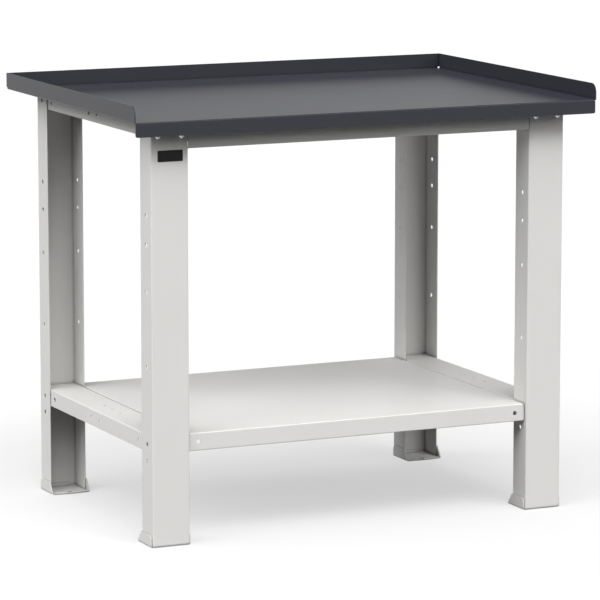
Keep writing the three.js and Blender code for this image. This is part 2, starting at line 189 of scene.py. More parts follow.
class CrossMemberSizes(bpy.types.PropertyGroup):
    sheet: length("Sheet", "Thickness of the sheet", 2)
    bend: length("Bend", "Inside radius of the bends", 0.2)
    height: length("Height", "Height of the walls", 34.5)
    hole_step: length("Hole step", "Distance of the second wall hole from the bolted one", 50)
    middle_spacing: length("Middle spacing", "Spacing of the two wall holes in the middle", 45)
    top_hole: length("Top hole", "Diameter of the holes in the top", 7)
    top_spacing: length("Top spacing", "Spacing of the holes in the top", 44)
    tapped_hole: length("Tapped hole", "Diameter of the screw holes in the end plates", 6.6)


class RailSizes(bpy.types.PropertyGroup):
    sheet: length("Sheet", "Thickness of the sheet", 2)
    bend: length("Bend", "Inside radius of the bends", 1)
    top_flange: length("Top flange", "Depth of the upper flange", 32)
    bottom_flange: length("Bottom flange", "Depth of the lower flange", 18)
    tab_height: length("Tab height", "Height of the end tabs", 44)


class ShelfSizes(bpy.types.PropertyGroup):
    sheet: length("Sheet", "Thickness of the sheet", 1.5)
    bend: length("Bend", "Inside radius of the bends", 0.3)
    lip_return: length("Return", "Depth of the returns under the lips", 12)
    end_flange: length("End flange", "Height of the flanges at the sides", 30)
    lip_gap: length("Lip gap", "Distance of the ends of the lips from the side flanges' faces", 1)
    lip_corner: length("Lip corner", "Radius at the ends of the lips", 5)
    lip_hole: length("Lip hole", "Diameter of the holes in the lips", 9)
    lip_hole_inset: length("Lip hole inset", "Distance of those holes from the sides", 22.2)


class StiffenerSizes(bpy.types.PropertyGroup):
    sheet: length("Sheet", "Thickness of the sheet", 1.5)
    bend: length("Bend", "Inside radius of the bends", 1.5)
    crown: length("Crown", "Width of the crown", 40)


class FastenerSizes(bpy.types.PropertyGroup):
    bolt: length("Bolt", "Diameter of the bolts", 8)
    bolt_flats: length("Bolt flats", "Width across flats of the bolts and their nuts", 13)
    bolt_pitch: length("Bolt pitch", "Pitch of the bolts' thread", 1.25)
    bolt_head: length("Bolt head", "Height of the bolts' heads", 5.5)
    bolt_tip: length("Bolt tip", "Chamfer at the tip of the bolts", 0.8)
    bolt_neck: length("Bolt neck", "Plain length between thread and head", 2)
    flange_height: length("Flange height", "Height of the flanges on bolts and nuts", 1.5)
    flange_edge: length("Flange edge", "Broken edge of flanges and button heads", 0.2)
    hexagon_chamfer: length("Hexagon chamfer", "Height of the chamfer on heads and nuts", 0.8)
    countersink: length("Countersink", "Depth of the countersink in the nuts", 0.6)
    stud_flats: length("Stud flats", "Width across flats of the nuts on the studs", 10)
    stud_pitch: length("Stud pitch", "Pitch of the thread on studs and screws", 1)
    stud_tip: length("Stud tip", "Chamfer at the tip of studs and screws", 0.7)
    stud_neck: length("Stud neck", "Plain length of the studs under the worktop", 1)
    screw: length("Screw", "Diameter of the button-head screws", 6)
    screw_head: length("Screw head", "Height of the button heads", 3.3)
    screw_neck: length("Screw neck", "Plain length between thread and button head", 1.5)
    button_edge: length("Button edge", "Height of the straight edge under the dome", 0.8)
    socket: length("Socket", "Width across flats of the sockets in the button heads", 4)
    socket_land: length("Socket land", "Flat ring round the socket", 0.3)
    socket_edge: length("Socket edge", "Broken edge of the socket", 0.1)
    play: length("Play", "Clearance around a thread", 0.3)


class PlateSizes(bpy.types.PropertyGroup):
    corner: length("Corner", "Radius of the plate's corners", 1.5)
    edge: length("Edge", "Width of the rounded edge around its face", 0.3)


class FinishColours(bpy.types.PropertyGroup):
    frame: colour("Frame", "Light grey powder coat of the frame and the shelf", "#CDCCCA")
    worktop: colour("Worktop", "Anthracite powder coat of the worktop", "#2F3036")
    zinc: colour("Zinc", "Bright zinc plating of the fasteners", "#C6C9CC")
    plate: colour("Plate", "Black of the bare plate", "#0C0C0D")


class StageSettings(bpy.types.PropertyGroup):
    floor_size: length("Floor size", "Width of the floor", 160000)
    camera_azimuth: angle("Camera azimuth", "Direction of the camera round the table, from the front", -24.78)
    camera_elevation: angle("Camera elevation", "Height of the camera above the horizon", 9.30)
    camera_distance: length("Camera distance", "Distance of the camera from the point it looks at", 7321)
    lens: bpy.props.FloatProperty(
        name="Lens", description="Focal length in mm", default=224.2, unit="CAMERA"
    )
    look_at: bpy.props.FloatVectorProperty(
        name="Look at", description="Point in the middle of the view",
        default=(-178.0 * MM, -398.7 * MM, 491.0 * MM), size=3, subtype="TRANSLATION",
    )


class TableSettings(bpy.types.PropertyGroup):
    worktop: bpy.props.PointerProperty(type=WorktopSizes)
    leg: bpy.props.PointerProperty(type=LegSizes)
    foot: bpy.props.PointerProperty(type=FootSizes)
    member: bpy.props.PointerProperty(type=CrossMemberSizes)
    rail: bpy.props.PointerProperty(type=RailSizes)
    shelf: bpy.props.PointerProperty(type=ShelfSizes)
    stiffener: bpy.props.PointerProperty(type=StiffenerSizes)
    fastener: bpy.props.PointerProperty(type=FastenerSizes)
    plate: bpy.props.PointerProperty(type=PlateSizes)
    finish: bpy.props.PointerProperty(type=FinishColours)
    stage: bpy.props.PointerProperty(type=StageSettings)


def middle_of(node):
    """Middle of a node's box."""
    low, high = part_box(node)
    return (low + high) / 2


def face_of(node):
    """Which way is inwards from a front or rear piece, +1 or -1 along Y, and the Y of its outer face."""
    low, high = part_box(node)
    return (1, low.y) if "front" in node else (-1, high.y)


def bend_of(size):
    """A right-angled bend: its radius at the middle of the sheet, the arc there, and its outer radius."""
    radius = size.bend + size.sheet / 2
    return radius, QUARTER * radius, size.bend + size.sheet


def grid_lines(stops, spans=(), mirrored=False):
    """Sorted grid lines: the stops themselves and each span (start, end, parts) divided evenly. Mirrored
    lines are repeated on the other side of 0."""
    divided = [np.linspace(start, end, parts + 1) for start, end, parts in spans]
    lines = np.sort(np.concatenate([np.asarray(stops, float), *divided]))
    lines = lines[np.append(True, np.diff(lines) > LEAST_STEP)]
    return grid_lines([*-lines, *lines]) if mirrored else lines


def hole_span(middle, diameter):
    """Span of grid lines over the square that stands round a hole."""
    reach = HOLE_SQUARE * diameter / 2
    return middle - reach, middle + reach, HOLE_STEPS


def flat_pattern(u_lines, v_lines, present=None, holes=()):
    """Corners (u, v) and quads of a flat pattern: the grid cells whose middles are present, and round each
    hole (u, v, diameter) a ring of quads from the square of cells that it replaces to the circle."""
    ids = np.arange(len(u_lines) * len(v_lines)).reshape(len(u_lines), len(v_lines))
    u, v = (lines.ravel() for lines in np.meshgrid(u_lines, v_lines, indexing="ij"))
    u_middle = (u_lines[:-1] + u_lines[1:]) / 2
    v_middle = (v_lines[:-1] + v_lines[1:]) / 2
    keep = np.ones((len(u_middle), len(v_middle)), bool)
    if present is not None:
        keep &= present(u_middle[:, None], v_middle[None, :])
    rings = []
    for hole_u, hole_v, diameter in holes:
        reach = HOLE_SQUARE * diameter / 2
        across = np.flatnonzero(np.abs(u_middle - hole_u) < reach)
        along = np.flatnonzero(np.abs(v_middle - hole_v) < reach)
        keep[np.ix_(across, along)] = False
        left, right, low, high = across[0], across[-1] + 1, along[0], along[-1] + 1
        square = np.concatenate([
            ids[left:right, low], ids[right, low:high],
            ids[left + 1:right + 1, high][::-1], ids[left, low + 1:high + 1][::-1],
        ])
        turn = np.arctan2(v[square] - hole_v, u[square] - hole_u)
        circle = len(u) + np.arange(len(square))
        u = np.append(u, hole_u + diameter / 2 * np.cos(turn))
        v = np.append(v, hole_v + diameter / 2 * np.sin(turn))
        rings.append(np.stack([square, np.roll(square, -1), np.roll(circle, -1), circle], axis=1))
    i, j = np.nonzero(keep)
    cells = np.stack([ids[i, j], ids[i + 1, j], ids[i + 1, j + 1], ids[i, j + 1]], axis=1)
    quads = np.concatenate([cells, *rings])
    used, quads = np.unique(quads, return_inverse=True)
    return u[used], v[used], quads.reshape(-1, 4)


def fold(d, h, bends):
    """A strip with distance d along it and height h over its middle, folded: each bend (start, angle, middle
    radius) turns what lies past its start about a centre one radius above or below, by distance / radius."""
    p, q = d.copy(), h.copy()
    for start, bend_angle, radius in sorted(bends, reverse=True):
        run = np.clip(d - start, 0, abs(bend_angle) * radius)
        turn = np.sign(bend_angle) * run / radius
        side = np.sign(bend_angle) * radius
        ahead, above = p - run - start, q - side
        p = start + ahead * np.cos(turn) - above * np.sin(turn)
        q = side + ahead * np.sin(turn) + above * np.cos(turn)
    return p, q


def fold_both_ways(d, h, ahead, behind, where):
    """The strip folded by the bends ahead for positive d and by those behind for negative d, where asked."""
    p_ahead, q_ahead = fold(d, h, ahead)
    p_behind, q_behind = fold(-d, h, behind)
    p = np.where(d >= 0, p_ahead, -p_behind)
    q = np.where(d >= 0, q_ahead, q_behind)
    return np.where(where, p, d), np.where(where, q, h)


def folded_sheet(pattern, sheet, u_bends=((), ()), v_bends=((), ()), fold_u=None, fold_v=None, warp=None):
    """A closed sheet: the pattern's quads half a sheet above its middle, the same turned over below, a rim of
    quads along every edge, then the bends across u and across v. Bends are (ahead, behind) of the pattern's
    middle. fold_u and fold_v say where on the pattern each applies, and warp shapes the outline first."""
    u, v, quads = pattern
    count = len(u)
    everywhere = np.ones(2 * count, bool)
    start, end = quads.ravel(), np.roll(quads, -1, axis=1).ravel()
    rim = ~np.isin(start * count + end, end * count + start)
    a, b = start[rim], end[rim]
    edge = np.stack([a, a + count, b + count, b], axis=1)
    faces = np.concatenate([quads, quads[:, ::-1] + count, edge])
    u, v = np.tile(u, 2), np.tile(v, 2)
    h = np.repeat([sheet / 2, -sheet / 2], count)
    where_u = everywhere if fold_u is None else fold_u(u, v)
    where_v = everywhere if fold_v is None else fold_v(u, v)
    if warp is not None:
        u, v = warp(u, v)
    across, rise_u = fold_both_ways(u, h, *u_bends, where_u)
    along, rise_v = fold_both_ways(v, h, *v_bends, where_v)
    return np.stack([across, along, rise_u + rise_v - h], axis=1), faces


def rounded_off(radius, past):
    """How far a quarter circle has drawn in at a distance past its start: r - sqrt(r^2 - past^2)."""
    return radius - np.sqrt(np.maximum(radius ** 2 - np.clip(past, 0, radius) ** 2, 0))


def placed(shell, origin, u_axis, v_axis):
    """A shell carried to its place: u and v along the two axes, height along their cross product."""
    points, faces = shell
    axes = np.array([u_axis, v_axis, np.cross(u_axis, v_axis)], float)
    return points @ axes + np.asarray(origin, float), faces


def turned(rings, sides, pitch=1.0, ring_closed=False):
    """A surface of revolution about Z. A ring is (radius, height, width across flats, thread depth): at angle
    t its radius is the smaller of the ring's own and flats / 2 / cos(angle to the nearest flat), less the
    thread's wave, depth * (1 - cos(2 pi height / pitch - t)) / 2. The ends are flat, or the last ring joins
    the first."""
    radius, height, flats, depth = np.array(rings, float).T[:, :, None]
    t = np.linspace(0, 2 * math.pi, sides, endpoint=False)[None, :]
    sixth = math.pi / 3
    hexagon = np.where(flats > 0, flats / 2 / np.cos(t % sixth - sixth / 2), np.inf)
    wave = depth * (1 - np.cos(2 * math.pi * height / pitch - t)) / 2
    r = np.minimum(radius, hexagon) - wave
    points = np.stack([r * np.cos(t), r * np.sin(t), np.broadcast_to(height, r.shape)], axis=2)
    faces = tube_faces(*r.shape, ring_closed)
    return points.reshape(-1, 3), faces


def tube_faces(rings, sides, ring_closed=False):
    """Quads between rings of points, with flat faces at both ends, or the last ring joined to the first."""
    ids = np.arange(rings * sides).reshape(rings, sides)
    above = np.roll(ids, -1, axis=0)
    quads = np.stack([ids, np.roll(ids, -1, axis=1), np.roll(above, -1, axis=1), above], axis=2)
    if ring_closed:
        return quads.reshape(-1, 4).tolist()
    return quads[:-1].reshape(-1, 4).tolist() + [ids[0, ::-1].tolist(), ids[-1].tolist()]


def thread_rings(radius, low, high, pitch):
    """Rings of a threaded shank from low to high, with the thread fading out at both ends."""
    heights = np.linspace(low, high, max(2, round((high - low) / pitch * THREAD_STEPS)) + 1)
    fade = np.clip(np.minimum(heights - low, high - heights) / pitch, 0, 1)
    return [(radius, height, 0, THREAD_DEPTH * pitch * share) for height, share in zip(heights, fade)]


def along_axis(shell, origin, axis):
    """A shell that was made along Z, carried to an origin with its Z along an axis of the frame."""
    axis = np.asarray(axis, float)
    side = np.cross((0, 0, 1), axis) if abs(axis[2]) < 0.5 else np.array((1.0, 0, 0))
    return placed(shell, origin, side, np.cross(axis, side))


def add_piece(name, shells, material, node, rounding=EDGE_ROUNDING):
    """One object from closed shells, riding on the frame in place of its node, with its edges rounded."""
    points = np.concatenate([points for points, _ in shells])
    faces = []
    first = 0
    for shell_points, shell_faces in shells:
        faces += [[int(i) + first for i in face] for face in shell_faces]
        first += len(shell_points)
    mesh = bpy.data.meshes.new(name)
    mesh.from_pydata(points.tolist(), [], faces)
    mesh.polygons.foreach_set("use_smooth", np.ones(len(mesh.polygons), bool))
    mesh.materials.append(material)
    if mesh.validate():
        raise ValueError(f"{name} has faces that are not valid")
    piece = bpy.data.objects.new(name, mesh)
    bpy.context.scene.collection.objects.link(piece)
    if rounding:
        bevel = piece.modifiers.new("rounded edges", "BEVEL")
        bevel.width = rounding
        bevel.segments = 2
        bevel.limit_method = "ANGLE"
        bevel.angle_limit = SHARP_ANGLE
    weighted = piece.modifiers.new("flat faces", "WEIGHTED_NORMAL")
    weighted.weight = 100
    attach(piece, "root")
    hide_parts(node)


def add_painted(node, form, *shells):
    """A light grey piece of the frame in place of its node."""
    add_piece(f"{node}_{form}", shells, frame_paint(), node)


def add_fastener(node, shell):
    """A zinc-plated fastener in place of its node."""
    form = "flanged" if "nut" in node else "threaded"
    add_piece(f"{node}_{form}", [shell], fastener_zinc(), node, rounding=0)


def add_node(tree, kind, inputs=None, **settings):
    """Adds a shader node with its settings, and sets or links its inputs."""
    made = tree.nodes.new(kind)
    for name, value in settings.items():
        setattr(made, name, value)
    for name, value in (inputs or {}).items():
        if isinstance(value, bpy.types.NodeSocket):
            tree.links.new(value, made.inputs[name])
        else:
            made.inputs[name].default_value = value
    return made


def new_tree(name):
    """An empty material with its node tree and the Object coordinates that its patterns read."""
    material = bpy.data.materials.get(name) or bpy.data.materials.new(name)
    material.use_nodes = True
    tree = material.node_tree
    tree.nodes.clear()
    return material, tree, add_node(tree, "ShaderNodeTexCoord").outputs["Object"]


def powder_coat(name, paint, roughness, specular, peel_depth):
    """Powder coat on steel: baked plastic paint, satin, with the fine orange peel that the powder leaves as
    it flows. The eye gets a soft broad highlight that trembles a little, and a colour that is not quite even.
    Joints, tight corners and the insides of the channels are darkened with painted shade, from ambient
    occlusion."""
    material, tree, place = new_tree(name)
    peel_size, flow_size, cloud_size, painted_shade_reach = 5 * MM, 40 * MM, 180 * MM, 10 * MM
    drift, darkest_painted_shade, unshaded_occlusion = 0.012, 0.1, 0.85
    peel = add_node(tree, "ShaderNodeTexNoise", {"Vector": place, "Scale": 1 / peel_size, "Detail": 1.0})
    flow = add_node(tree, "ShaderNodeTexNoise", {"Vector": place, "Scale": 1 / flow_size, "Detail": 3.0})
    cloud = add_node(tree, "ShaderNodeTexNoise", {"Vector": place, "Scale": 1 / cloud_size, "Detail": 2.0})
    shade = add_node(tree, "ShaderNodeMapRange", {
        "Value": cloud.outputs["Fac"], **NOISE_RANGE, "To Min": 1 - drift, "To Max": 1 + drift,
    })
    # Painted shade: ambient occlusion within a short reach darkens the paint's colour in joints, corners and
    # channels
    painted_shade_occlusion = add_node(tree, "ShaderNodeAmbientOcclusion", {"Distance": painted_shade_reach}, samples=8)
    painted_shade_factor = add_node(tree, "ShaderNodeMapRange", {
        "Value": painted_shade_occlusion.outputs["AO"], "From Min": 0.0, "From Max": unshaded_occlusion,
        "To Min": darkest_painted_shade, "To Max": 1.0,
    })
    # The paint's colour scale: its random tone times the painted shade
    depth = add_node(tree, "ShaderNodeMath", {
        0: shade.outputs["Result"], 1: painted_shade_factor.outputs["Result"],
    }, operation="MULTIPLY")
    tint = add_node(tree, "ShaderNodeVectorMath", {
        0: paint, "Scale": depth.outputs["Value"],
    }, operation="SCALE")
    gloss = add_node(tree, "ShaderNodeMapRange", {
        "Value": flow.outputs["Fac"], **NOISE_RANGE,
        "To Min": roughness * (1 - drift), "To Max": roughness * (1 + drift),
    })
    bump = add_node(tree, "ShaderNodeBump", {
        "Height": peel.outputs["Fac"], "Strength": 1.0, "Distance": peel_depth,
    })
    shader = add_node(tree, "ShaderNodeBsdfPrincipled", {
        "Base Color": tint.outputs["Vector"], "Roughness": gloss.outputs["Result"],
        "Normal": bump.outputs["Normal"], "IOR": 1.5, "Specular IOR Level": specular,
    })
    add_node(tree, "ShaderNodeOutputMaterial", {"Surface": shader.outputs["BSDF"]})
    return material


def zinc_plating(name, metal):
    """Bright zinc plating on steel fasteners: a bluish silver with a slightly milky, uneven gloss."""
    material, tree, place = new_tree(name)
    patch_size = 3 * MM
    patch = add_node(tree, "ShaderNodeTexNoise", {"Vector": place, "Scale": 1 / patch_size, "Detail": 3.0})
    gloss = add_node(tree, "ShaderNodeMapRange", {
        "Value": patch.outputs["Fac"], **NOISE_RANGE, "To Min": 0.24, "To Max": 0.38,
    })
    shade = add_node(tree, "ShaderNodeMapRange", {
        "Value": patch.outputs["Fac"], **NOISE_RANGE, "To Min": 0.92, "To Max": 1.0,
    })
    tint = add_node(tree, "ShaderNodeVectorMath", {
        0: metal, "Scale": shade.outputs["Result"],
    }, operation="SCALE")
    shader = add_node(tree, "ShaderNodeBsdfPrincipled", {
        "Base Color": tint.outputs["Vector"], "Roughness": gloss.outputs["Result"], "Metallic": 1.0,
    })
    add_node(tree, "ShaderNodeOutputMaterial", {"Surface": shader.outputs["BSDF"]})
    return material


def black_film(name, black):
    """Smooth black plastic film: deep black, an even satin gloss and a faint ripple from being laid."""
    material, tree, place = new_tree(name)
    ripple_size, ripple_depth = 9 * MM, 0.02 * MM
    ripple = add_node(tree, "ShaderNodeTexNoise", {"Vector": place, "Scale": 1 / ripple_size, "Detail": 1.0})
    gloss = add_node(tree, "ShaderNodeMapRange", {
        "Value": ripple.outputs["Fac"], **NOISE_RANGE, "To Min": 0.32, "To Max": 0.42,
    })
    bump = add_node(tree, "ShaderNodeBump", {
        "Height": ripple.outputs["Fac"], "Strength": 1.0, "Distance": ripple_depth,
    })
    shader = add_node(tree, "ShaderNodeBsdfPrincipled", {
        "Base Color": (*black, 1.0), "Roughness": gloss.outputs["Result"], "Normal": bump.outputs["Normal"],
        "IOR": 1.5, "Specular IOR Level": 0.2,
    })
    add_node(tree, "ShaderNodeOutputMaterial", {"Surface": shader.outputs["BSDF"]})
    return material


def frame_paint():
    """The light grey of the frame, the feet and the shelf."""
    name = "light_grey_powder_coat"
    paint = bpy.context.scene.assembly_table.finish.frame
    found = bpy.data.materials.get(name)
    return found or powder_coat(name, paint, roughness=0.42, specular=0.5, peel_depth=0.008 * MM)


def worktop_paint():
    """The anthracite of the worktop, smoother than the frame."""
    paint = bpy.context.scene.assembly_table.finish.worktop
    return powder_coat("anthracite_powder_coat", paint, roughness=0.31, specular=0.26, peel_depth=0.001 * MM)


def fastener_zinc():
    """The plating of all fasteners."""
    name = "bright_zinc_plating"
    found = bpy.data.materials.get(name)
    return found or zinc_plating(name, bpy.context.scene.assembly_table.finish.zinc)


class TABLE_OT_worktop(bpy.types.Operator):
    """Tray worktop from one sheet: apron down in front, upstands at the back and the sides"""
    bl_idname = "table.worktop"
    bl_label = "Worktop"

    def execute(self, context):
        size = context.scene.assembly_table.worktop
        low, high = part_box("worktop")
        radius, arc, reach = bend_of(size)
        side, back, front = high.x - reach, high.y - reach, -low.y - reach
        deck = size.surface - size.sheet / 2
        wall = high.z - deck - radius
        apron = deck - radius - low.z
        wall_start, apron_start = side + arc, front + arc
        corner, apron_corner = size.upstand_corner, size.apron_corner
        wall_rounding = wall_start + wall - corner * (1 - ROUNDING)
        apron_rounding = apron_start + apron - apron_corner * (1 - ROUNDING)
        relief_top = arc + size.relief_rise
        apron_side = high.x - size.sheet
        apron_end = 2 * apron_corner
        shaped = 3 * corner
        slit_end = -apron_start - size.slit / 2

        u_lines = grid_lines(
            [0, side - size.relief, side - size.slit, apron_side, side + relief_top, *wall_rounding],
            [(side, wall_start, BEND_STEPS), (apron_side - apron_end, side - size.relief, APRON_PARTS)],
            mirrored=True,
        )
        v_lines = grid_lines(
            [low.y + shaped, low.y, back - size.relief, back + relief_top, high.y, back + arc + wall,
             *-apron_rounding, slit_end],
            [(-apron_start, -front, BEND_STEPS), (back, back + arc, BEND_STEPS)],
        )

        def present(u, v):
            """Where the pattern has sheet: the deck, then each flap with its bend and the cuts beside it"""
            u = np.abs(u)
            on_deck = (u < side) & (v > -front) & (v < back)
            in_apron_bend = (v < -front) & (v > slit_end) & (u < side - size.slit)
            on_apron = (v < slit_end) & (u < apron_side)
            low_side = (u > side) & (u < side + relief_top) & (v > low.y) & (v < back - size.relief)
            high_side = (u > side + relief_top) & (v > low.y) & (v < high.y)
            low_rear = (v > back) & (v < back + relief_top) & (u < side - size.relief)
            high_rear = (v > back + relief_top) & (u < apron_side - size.corner_gap)
            return on_deck | in_apron_bend | on_apron | low_side | high_side | low_rear | high_rear

        def on_side_flap(u, v):
            """Where the sheet is folded up along a side"""
            return (np.abs(u) > side - size.slit / 2) & (v > low.y - TOUCH) & (v < high.y + TOUCH)

        def off_side_flap(u, v):
            """Where the sheet is folded along the front or the back"""
            return (np.abs(u) < side - size.slit / 2) | (v < low.y - TOUCH) | (v > back + relief_top - TOUCH)

        def rounded_corners(u, v):
            """Draws in the front ends of the side flaps and the lower ends of the apron as quarter circles"""
            shift = rounded_off(corner, np.abs(u) - wall_start - wall + corner)
            on_flap = on_side_flap(u, v) & (v < low.y + shaped + TOUCH)
            v_new = np.where(on_flap, v + shift * (low.y + shaped - v) / shaped, v)
            draw = rounded_off(apron_corner, -v - apron_start - apron + apron_corner)
            near_end = np.clip((np.abs(u) - apron_side + apron_end) / apron_end, 0, 1)
            u_new = np.where(v < -apron_start, u - np.sign(u) * draw * near_end, u)
            return u_new, v_new

        upwards = [(side, QUARTER, radius)]
        shell = folded_sheet(
            flat_pattern(u_lines, v_lines, present), size.sheet, u_bends=(upwards, upwards),
            v_bends=([(back, QUARTER, radius)], [(front, -QUARTER, radius)]),
            fold_u=on_side_flap, fold_v=off_side_flap, warp=rounded_corners,
        )
        tray = placed(shell, (0, 0, deck), (1, 0, 0), (0, 1, 0))
        add_piece("worktop_tray", [tray], worktop_paint(), "worktop")
        return {"FINISHED"}


class TABLE_OT_stiffeners(bpy.types.Operator):
    """Hat sections under the worktop and the shelf, crown down"""
    bl_idname = "table.stiffeners"
    bl_label = "Stiffeners"

    def execute(self, context):
        size = context.scene.assembly_table.stiffener
        radius, arc, _ = bend_of(size)
        for node in ("worktop_stiffener_front", "worktop_stiffener_rear", "shelf_stiffener"):
            low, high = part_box(node)
            crown = size.crown / 2 - size.sheet / 2 - radius
            wall = high.z - low.z - size.sheet - 2 * radius
            second = crown + arc + wall
            brim = (high.y - low.y) / 2 - size.crown / 2 + size.sheet / 2 - radius
            u_lines = grid_lines([0, second + arc + brim], [
                (crown, crown + arc, BEND_STEPS), (second, second + arc, BEND_STEPS),
            ], mirrored=True)
            bends = [(crown, QUARTER, radius), (second, -QUARTER, radius)]
            pattern = flat_pattern(u_lines, grid_lines([low.x, 0, high.x]))
            shell = folded_sheet(pattern, size.sheet, u_bends=(bends, bends))
            origin = (0, (low.y + high.y) / 2, low.z + size.sheet / 2)
            add_painted(node, "hat", placed(shell, origin, (0, 1, 0), (-1, 0, 0)))
        return {"FINISHED"}


class TABLE_OT_legs(bpy.types.Operator):
    """Channel legs, web outwards, with rows of holes in both flanges"""
    bl_idname = "table.legs"
    bl_label = "Legs"

    def execute(self, context):
        size = context.scene.assembly_table.leg
        radius, arc, _ = bend_of(size)
        top_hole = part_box("front_rail")[1].z - size.hole_drop
        shelf_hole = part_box("shelf_panel")[1].z - size.hole_drop
        heights = [top_hole, shelf_hole, *(shelf_hole + rise for rise in size.hole_rises)]
        for corner in CORNERS:
            node = f"leg_{corner}"
            low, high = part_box(node)
            inward, face = face_of(node)
            middle = middle_of(node)
            screw = middle_of(f"leg_screw_{corner}_inner")
            screw_u = abs(screw.x - middle.x)
            web = (high.x - low.x) / 2 - size.sheet / 2 - radius
            flange = (high.y - low.y) - size.sheet / 2 - radius
            hole_u = web + arc + size.hole_from_web - size.sheet / 2 - radius
            u_lines = grid_lines([0, web + arc + flange], [
                (web, web + arc, BEND_STEPS), hole_span(hole_u, size.hole),
                hole_span(screw_u, size.screw_hole),
            ], mirrored=True)
            v_lines = grid_lines([low.z, high.z], [
                hole_span(screw.z, size.screw_hole), *(hole_span(z, size.hole) for z in heights),
            ])
            holes = [(side * hole_u, z, size.hole) for side in (-1, 1) for z in heights]
            holes += [(side * screw_u, screw.z, size.screw_hole) for side in (-1, 1)]
            bends = [(web, -QUARTER, radius)]
            shell = folded_sheet(
                flat_pattern(u_lines, v_lines, holes=holes), size.sheet, u_bends=(bends, bends),
            )
            origin = (middle.x, face + inward * size.sheet / 2, 0)
            add_painted(node, "channel", placed(shell, origin, (inward, 0, 0), (0, 0, 1)))
        return {"FINISHED"}


class TABLE_OT_feet(bpy.types.Operator):
    """Base plates with two cheeks outside the leg, a low tab inside it and a fixing hole in the tip"""
    bl_idname = "table.feet"
    bl_label = "Feet"

    def execute(self, context):
        size = context.scene.assembly_table.foot
        leg_sheet = context.scene.assembly_table.leg.sheet
        for corner in CORNERS:
            node = f"foot_{corner}"
            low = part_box(node)[0]
            inward, web_y = face_of(f"leg_{corner}")
            middle = middle_of(node)
            tab_pattern = flat_pattern(
                grid_lines([0, size.tab_width / 2], mirrored=True), grid_lines([size.sheet, size.tab_height]),
            )
            tab_y = web_y + inward * (leg_sheet + size.tab_gap + size.sheet / 2)
            tab = placed(
                folded_sheet(tab_pattern, size.sheet), (middle.x, tab_y, low.z), (inward, 0, 0), (0, 0, 1),
            )
            origin = (middle.x, web_y, low.z + size.sheet / 2)
            base = placed(self.base_shell(size, node, corner), origin, (inward, 0, 0), (0, inward, 0))
            add_painted(node, "bracket", base, tab)
        return {"FINISHED"}

    def base_shell(self, size, node, corner):
        """The plate and its cheeks in the leg's frame, with v from the web's face inwards"""
        low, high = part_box(node)
        inward, web_y = face_of(f"leg_{corner}")
        leg_low, leg_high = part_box(f"leg_{corner}")
        radius, arc, _ = bend_of(size)
        flange = leg_high.y - leg_low.y
        back, tip = sorted(inward * (y - web_y) for y in (low.y, high.y))
        plate = (high.x - low.x) / 2 - size.sheet / 2 - radius
        top = high.z - low.z
        cheek = top - size.sheet / 2 - radius
        corner_tip = tip - size.bulge
        hole_v = flange + size.hole_reach
        hole_reach = HOLE_SQUARE * size.floor_hole / 2
        last = hole_v + hole_reach + size.hole_margin
        rounding = plate + arc + cheek - size.corner * (1 - ROUNDING)
        u_lines = grid_lines([0, *rounding], [
            (plate, plate + arc, BEND_STEPS), hole_span(0, size.floor_hole), (hole_reach, plate, FOOT_PARTS),
        ], mirrored=True)
        v_lines = grid_lines([back, size.setback, last, corner_tip], [
            hole_span(hole_v, size.floor_hole), (size.setback, flange, FOOT_PARTS),
        ])

        def present(u, v):
            """Where the pattern has sheet: the plate, and the cheeks behind their setback"""
            return (np.abs(u) < plate) | (v > size.setback)

        def outline(u, v):
            """Slopes the cheeks' inward edges, rounds their front corners and bulges the tip as a parabola"""
            bent = np.clip((np.abs(u) - plate) / radius, 0, QUARTER)
            z = size.sheet / 2 + radius * (1 - np.cos(bent)) + np.maximum(np.abs(u) - plate - arc, 0)
            first = size.setback + rounded_off(size.corner, z - top + size.corner)
            end = corner_tip - (corner_tip - flange) * z / top
            share = (v - size.setback) / (corner_tip - size.setback)
            on_cheek = (np.abs(u) > plate - TOUCH) & (v > size.setback - TOUCH)
            plate_end = tip - (tip - end) * (u / plate) ** 2
            on_tip = (np.abs(u) < plate - TOUCH) & (v > last)
            bulged = last + (v - last) * (plate_end - last) / (corner_tip - last)
            return u, np.where(on_cheek, first + share * (end - first), np.where(on_tip, bulged, v))

        bends = [(plate, QUARTER, radius)]
        pattern = flat_pattern(u_lines, v_lines, present, [(0, hole_v, size.floor_hole)])
        return folded_sheet(pattern, size.sheet, u_bends=(bends, bends), warp=outline)


